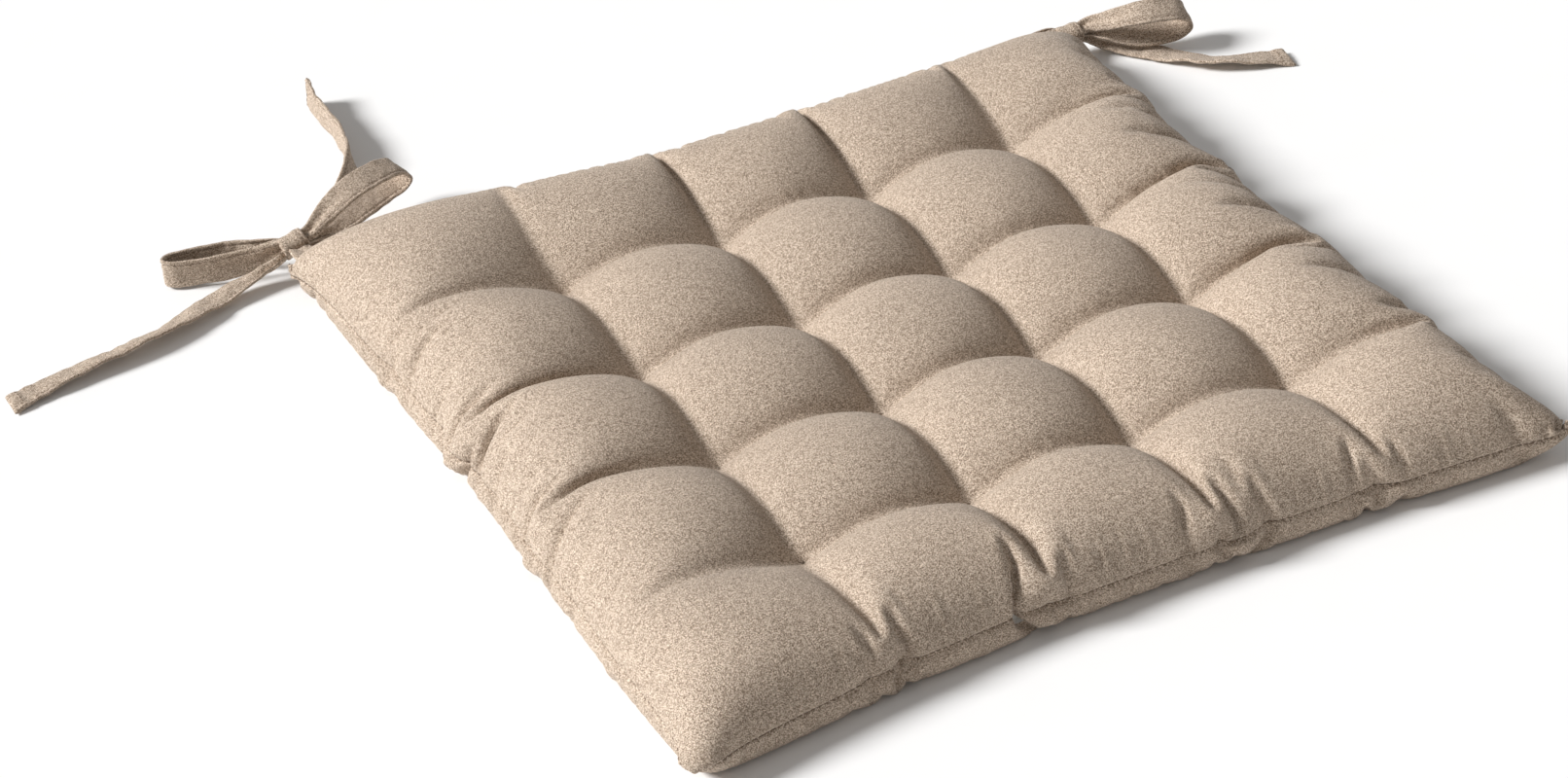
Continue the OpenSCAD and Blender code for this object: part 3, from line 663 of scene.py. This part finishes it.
def relax(x, h, steps):
    """Lets the cover settle over its filling: x is [panel, u, v, xyz], h the distance between threads"""
    lines = [cut_lines(axis, h) for axis in (0, 1)]
    columns, rows = [[int(np.argmin(abs(u - k * CUT_PITCH))) for k in STEPS] for u in lines]
    gathers = [[(int(np.argmin(abs(u - place))), limit) for place, limit in side]
               for u, side in ((lines[0], FRONT_GATHERS), (lines[0], BACK_GATHERS),
                               (lines[1], LEFT_GATHERS), (lines[1], RIGHT_GATHERS))]
    free, hold, slack, rest, flex, ring, seam_z = maps(h)
    long_rest = rest * np.float32(math.sqrt(2))
    nu, nv = x.shape[1:3]
    old = x.copy()
    for _ in range(steps):
        x, old = x + (x - old) * np.float32(DAMPING), x
        squeeze = free / np.maximum(x[0, ..., 2] - x[1, ..., 2], THINNEST) - 1
        push = PRESSURE / 4 * np.clip(squeeze, 0, MOST_SQUEEZE) - hold
        x[..., 2] -= WEIGHT
        x[:, ring, 2] += SEAM_HOLD * (seam_z - x[:, ring, 2])
        for panel_x, sign in ((x[0], 1), (x[1], -1)):
            du, dv = 2 * np.gradient(panel_x, axis=0), 2 * np.gradient(panel_x, axis=1)
            normal = np.stack([du[..., 1] * dv[..., 2] - du[..., 2] * dv[..., 1],
                               du[..., 2] * dv[..., 0] - du[..., 0] * dv[..., 2],
                               du[..., 0] * dv[..., 1] - du[..., 1] * dv[..., 0]], -1)
            panel_x += normal * (sign * push)[..., None]
        for _ in range(2):
            for a, b in every_pair(nu, 1):
                pull(x[:, a], x[:, b], rest[a], 1.0, slack[a])
                pull(x[:, a, :-1], x[:, b, 1:], long_rest[a, :-1], DIAGONAL, slack[a, :-1])
                pull(x[:, a, 1:], x[:, b, :-1], long_rest[a, 1:], DIAGONAL, slack[a, 1:])
            for a, b in every_pair(nv, 1):
                pull(x[:, :, a], x[:, :, b], rest[:, a], 1.0, slack[:, a])
            # The seam joins the panels
            for side in ((slice(None), 0), (slice(None), -1), (0, slice(None)), (-1, slice(None))):
                mean = (x[0][side] + x[1][side]) / 2
                for a, b in every_pair(len(mean), 1):
                    pull(mean[a], mean[b], h * (1 + SEAM_EASE), 1.0)
                x[0][side] = mean
                x[1][side] = mean
        # Stiffness: threads two apart keep their distance weakly
        for a, b in every_pair(nu, 2):
            pull(x[:, a], x[:, b], 2 * rest[a], flex[a.start + 1:b.stop - 1:a.step])
        for a, b in every_pair(nv, 2):
            pull(x[:, :, a], x[:, :, b], 2 * rest[:, a], flex[:, a.start + 1:b.stop - 1:a.step])
        for a, across in zip(columns, STEPS):
            for b, back in zip(rows, STEPS):
                x[0, a, b] = across * PITCH, back * PITCH, TUFT_TOP
                x[1, a, b] = across * PITCH, back * PITCH, TUFT_LOW
        for i, limit in gathers[0]:
            x[:, i, 0, 1] = np.maximum(x[:, i, 0, 1], limit)
        for i, limit in gathers[1]:
            x[:, i, -1, 1] = np.minimum(x[:, i, -1, 1], limit)
        for j, limit in gathers[2]:
            x[:, 0, j, 0] = np.maximum(x[:, 0, j, 0], limit)
        for j, limit in gathers[3]:
            x[:, -1, j, 0] = np.minimum(x[:, -1, j, 0], limit)
        for (i, j), place in CORNERS.items():
            x[:, -i, -j] = place
        np.maximum(x[1, :, :, 2], LOWEST, out=x[1, :, :, 2])
    return x


def finer(x):
    """The cloth with twice as many threads, on the same smooth surface"""
    for axis in (1, 2):
        a = np.moveaxis(x, axis, 0)
        out = np.empty((2 * len(a) - 1,) + a.shape[1:], a.dtype)
        out[::2] = a
        out[1::2] = (a[:-1] + a[1:]) / 2
        out[3:-3:2] = (9 * (a[1:-2] + a[2:-1]) - (a[:-3] + a[3:])) / 16
        x = np.moveaxis(out, 0, axis)
    return np.ascontiguousarray(x)


def first_folds(h):
    """Waves that the folds at the side seams start from, heights in mm"""
    u, v = (cut_lines(axis, h) for axis in (0, 1))
    right, left = (np.clip((sign * u - OUTER * CUT_PITCH) / WAVE_W, 0, 1)[:, None] for sign in (1, -1))
    first, second, third = WAVE_LONG
    short = np.sin(2 * math.pi * v / first) + np.sin(2 * math.pi * v / second + 1)
    long = np.sin(2 * math.pi * (v + 0.4 * abs(u[:, None])) / third + 2)
    return RIGHT_WAVE * right * short + LEFT_WAVE * left * long


def inflate():
    """Starts from flat sewn panels, roughly puffed, and refines them"""
    h = FIRST_H
    flat = []
    for axis in (0, 1):
        known = [CUT_LOW[axis], *(k * CUT_PITCH for k in STEPS), CUT_HIGH[axis]]
        laid = [LAID_LOW[axis], *(k * PITCH for k in STEPS), LAID_HIGH[axis]]
        flat.append(np.interp(cut_lines(axis, h), known, laid))
    s, t = flat
    rng = np.random.default_rng(7)
    x = np.zeros((2, len(s), len(t), 3), np.float32)
    x[..., 0] = s[:, None]
    x[..., 1] = t[None, :]
    rim = [np.minimum(a - a[0], a[-1] - a) / RIM for a in flat]
    edge = np.clip(np.minimum(rim[0][:, None], rim[1][None, :]), 0, 1)
    swell = [np.where(abs(a) < OUTER * PITCH, abs(np.cos(np.pi * a / PITCH)), 1) for a in flat]
    puff = (swell[0][:, None] + swell[1][None, :]) / 2
    x[0, ..., 2] = SEAM_Z + edge * (TUFT_TOP - SEAM_Z + PUFF_UP * puff)
    x[1, ..., 2] = SEAM_Z + edge * (TUFT_LOW - SEAM_Z - PUFF_DOWN * puff)
    for level, steps in enumerate(((260, 240, 240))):
        if level > 0:
            x = finer(x)
            h /= 2
        if level == 1:
            x[0, ..., 2] += first_folds(h)
        x += rng.normal(0, UNEVEN_START[level], x.shape).astype(np.float32)
        x = relax(x, h, steps)
    # A corner that was sewn inside out is never quite sharp
    for i, j in CORNERS:
        beside = (x[:, 1 - 3 * i, -j] + x[:, -i, 1 - 3 * j]) / 2
        x[:, -i, -j] = (1 - BLUNT) * x[:, -i, -j] + BLUNT * beside
    return x, h


X, H = inflate()

# ---- Pieces of the pad --------------------------------------------------------------------

SHELL = 0.7                        # thickness of a panel, mm from here on
LIP, LIP_W = 0.9, 0.6              # how deep and how wide the seam is drawn in
EXTRA = [0, 0.1, 0.24, 0.45, 0.7]  # grid lines beside the seam, in cells
ROLL, ROLL_AT, ROLL_W = 0.35, 1.0, 0.7     # height, place and width of the roll of cloth beside the seam
BOLT = (0.613, 0.271)              # where on the bolt of cloth the underside was cut, metres
ALLOWANCE = (1.6, 10.5), (0.15, 0.6)       # how far inside the seam it lies, and between what heights
SEAM_STITCH, SEAM_STITCH_GAP = 3.0, 0.7
STRAND_R = 0.45                    # the two twisted threads of a tuft
BAR_R, BAR_HALF, BAR_GAP = 0.22, 1.5, 0.36         # threads of its bars, half their length, spacing


def on_lines(p, lines):
    """The grid p read at these fractional places along each of its sides"""
    for axis, places in enumerate(lines):
        a = np.moveaxis(p, axis, 0)
        i = np.clip(places.astype(int), 0, len(a) - 2)
        f = (places - i)[:, None, None]
        p = np.moveaxis(a[i] * (1 - f) + a[i + 1] * f, 0, axis)
    return p


def normals(p):
    """Unit normals of a grid of points"""
    return unit(np.cross(np.gradient(p, axis=0), np.gradient(p, axis=1)))


def two_skins(upper, lower):
    """Closed solid between two grids of points, upper above lower"""
    rows, columns = upper.shape[:2]
    skin = rows_to_quads(rows, columns, closed=False)
    border = border_of(np.arange(rows * columns).reshape(rows, columns))
    following = np.roll(border, -1)
    count = rows * columns
    rim = np.stack([border, following, following + count, border + count], 1)
    faces = np.concatenate([skin[:, ::-1], skin + count, rim[:, ::-1]])
    return np.concatenate([upper.reshape(-1, 3), lower.reshape(-1, 3)]) * MM, faces.tolist()


def border_of(grid):
    """The values round the edge of a grid, once round"""
    return np.concatenate([grid[0, :-1], grid[:-1, -1], grid[-1, :0:-1], grid[:0:-1, 0]])


def panel(name, side):
    """Top (side 0) or underside (1) of the cover, drawn in at the seam"""
    lines = [np.array(EXTRA + list(range(1, n - 1)) + [n - 1 - e for e in EXTRA[::-1]], float)
             for n in X.shape[1:3]]
    p = on_lines(X[side].astype(float), lines)
    sign = 1 if side == 0 else -1
    inset = [np.minimum(t, t[-1] - t) * H for t in lines]
    sunk = [LIP * np.exp(-(t / LIP_W) ** 2) for t in inset]
    way = [np.sign(t - t[-1] / 2) for t in lines]
    p[..., 0] -= (way[0] * sunk[0])[:, None]
    p[..., 1] -= (way[1] * sunk[1])[None, :]
    near = np.minimum(inset[0][:, None], inset[1][None, :])
    p[..., 2] += sign * ROLL * np.exp(-((near - ROLL_AT) / ROLL_W) ** 2)
    inner = p - sign * SHELL * normals(p)
    cloth = np.zeros((2, *p.shape))
    cloth[..., 0] = (lines[0] * sign * H * MM)[:, None] + side * BOLT[0]
    cloth[..., 1] = (lines[1] * H * MM)[None, :] + side * BOLT[1]
    if side == 1:
        p, inner, cloth = inner, p, cloth[::-1]
    points, faces = two_skins(p, inner)
    obj = new_object(name, points, faces, CLOTH, cloth.reshape(-1, 3))
    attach(obj, "pad")
    return obj


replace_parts(panel("cover_top", 0), "top_panel")
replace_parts(panel("cover_underside", 1), "bottom_panel")


def seam_line():
    """The seam all the way round, mm"""
    grid = np.arange(X[0, ..., 0].size).reshape(X.shape[1:3])
    return X[0].reshape(-1, 3)[border_of(grid)].astype(float)


def drawn_in(line, by):
    """The seam line moved towards the middle of the pad"""
    scale = 1 - by / np.abs(line[:, :2]).max(1)
    return np.concatenate([line[:, :2] * scale[:, None], line[:, 2:]], 1)


def wadding():
    """The fibre inside, clear of the cover and of the seam allowance"""
    margin, stride, gap = 8, 4, SHELL + 0.8
    top, low = X.copy()
    for step in range(-stride, stride + 1):               # stays below every crease nearby
        for axis in (0, 1):
            np.minimum(top[..., 2], np.roll(X[0, ..., 2], step, axis) - gap, out=top[..., 2])
            np.maximum(low[..., 2], np.roll(X[1, ..., 2], step, axis) + gap, out=low[..., 2])
    low[..., 2] = np.minimum(low[..., 2], top[..., 2] - 1)
    inside = (slice(margin, -margin, stride),) * 2
    obj = new_object("wadding", *two_skins(top[inside], low[inside]), WADDING)
    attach(obj, "pad")
    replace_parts(obj, "filling")


def seam_allowance():
    """The two cut edges inside the seam, one above the other"""
    seam = seam_line()[::2]
    parts = []
    (near, far), (low, high) = ALLOWANCE
    corners = [(near, low), (far, low), (far, high), (near, high)]
    for sign in (1, -1):
        ring = np.stack([drawn_in(seam, by) + [0, 0, sign * up] for by, up in corners], 1)
        ring = np.concatenate([ring, ring[:1]])
        faces = rows_to_quads(len(ring), 4).tolist()
        points = ring[:-1].reshape(-1, 3)
        faces = [[i % len(points) for i in f] for f in faces]
        parts.append((points * MM, faces if sign > 0 else [f[::-1] for f in faces]))
    points, faces = joined(parts)
    cloth = points * [1, 1, 0]
    obj = new_object("seam_allowance_strips", points, faces, CLOTH, cloth)
    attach(obj, "pad")
    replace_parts(obj, "seam_allowance")


def seam_stitching():
    """Row of stitches that shows in the groove of the seam"""
    line = seam_line()
    line = np.concatenate([line, line[:1]])
    out = np.zeros_like(line)
    edge = np.abs(line[:, :2]).argmax(1)
    out[:, 0] = np.where(edge == 0, np.sign(line[:, 0]), 0)
    out[:, 1] = np.where(edge == 1, np.sign(line[:, 1]), 0)
    sunk = drawn_in(line, LIP - 0.1)
    row = stitches(sunk * MM, out, SEAM_STITCH * MM, SEAM_STITCH_GAP * MM)
    obj = new_object("seam_stitches", *joined(row), THREAD)
    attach(obj, "pad")
    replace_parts(obj, "edge_stitching")


def tufts():
    """Thread through the pad at each tuft, with a small bar of thread on each face"""
    t = np.linspace(0, 1, 24)
    s = np.linspace(-BAR_HALF, BAR_HALF, 7)
    for row, back in enumerate(STEPS[::-1]):
        for column, across in enumerate(STEPS):
            x, y = across * PITCH, back * PITCH
            parts = []
            for strand in (0, math.pi):
                turn = strand + t * 5 * math.pi
                line = np.stack([x + STRAND_R * np.cos(turn), y + STRAND_R * np.sin(turn),
                                 TUFT_LOW + (TUFT_TOP - TUFT_LOW) * t], 1)
                parts.append(tube(line * MM, STRAND_R * MM))
            for z, up in ((TUFT_TOP, 1), (TUFT_LOW, -1)):
                for bar in range(4):
                    a = math.radians(20 + 8 * bar)
                    off = (bar - 1.5) * BAR_GAP
                    line = np.stack([x + s * math.cos(a) - off * math.sin(a),
                                     y + s * math.sin(a) + off * math.cos(a),
                                     z + up * (0.35 - 0.3 * (s / BAR_HALF) ** 4)], 1)
                    parts.append(tube(line * MM, BAR_R * MM))
            obj = new_object(f"tuft_thread_{row + 1}_{column + 1}", *joined(parts), THREAD)
            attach(obj, "pad")
            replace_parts(obj, f"tuft_{row + 1}_{column + 1}")


def tie_tabs():
    """Sewn-in ends of the ties, inside the seam"""
    for side, route in (("left", LEFT_NECK), ("right", RIGHT_NECK)):
        x, y, z, width, _ = route[0]
        run = [(x, y - depth * MM, z, width * 0.96, 0) for depth in (8, 5, 2.5, 0)]
        points, faces, cloth, _, _, _ = strap_shape(run, SIDEWAYS, 5, crumple=0.0)
        obj = new_object(f"{side}_sewn_tie_end", points, faces, CLOTH, cloth)
        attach(obj, "pad")
        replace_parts(obj, f"{side}_tie_tab")


wadding()
seam_allowance()
seam_stitching()
tufts()
tie_tabs()

# ---- Light and floor ----------------------------------------------------------------------

SKY_COLOUR, SKY_STRENGTH = (1, 0.975, 0.95, 1), 0.31
SUN_STRENGTH, SUN_WIDTH = 4.5, math.radians(18)
SUN_WAY = (1.5, -0.55, -1.1)       # it shines from the left, a little from behind, and from above
FLOOR_COLOUR = (0.92, 0.92, 0.92, 1)
FLOOR = 6                          # half its width, metres

world = bpy.data.worlds.new("studio")
bpy.context.scene.world = world
world.use_nodes = True
world.node_tree.nodes["Background"].inputs["Color"].default_value = SKY_COLOUR
world.node_tree.nodes["Background"].inputs["Strength"].default_value = SKY_STRENGTH

sun = bpy.data.lights.new("key", "SUN")
sun.energy, sun.angle = SUN_STRENGTH, SUN_WIDTH
key = bpy.data.objects.new("key", sun)
bpy.context.scene.collection.objects.link(key)
key.rotation_mode = "QUATERNION"
key.rotation_quaternion = Vector(SUN_WAY).to_track_quat("-Z", "Y")


def pale_floor():
    """Matt, all but even light grey"""
    n = Nodes("pale_floor")
    grain = n.noise(n.add("ShaderNodeTexCoord").outputs["Object"], 40.0)
    return n.finish(FLOOR_COLOUR, n.spread(grain, 0.3, 0.7, 0.7, 0.8), grain, 0.05 * MM, 0.1)


corners = [(-FLOOR, -FLOOR, 0), (FLOOR, -FLOOR, 0), (FLOOR, FLOOR, 0), (-FLOOR, FLOOR, 0)]
floor = new_object("floor", corners, [(0, 1, 2, 3)], pale_floor())
bpy.context.scene.view_settings.view_transform = "Standard"
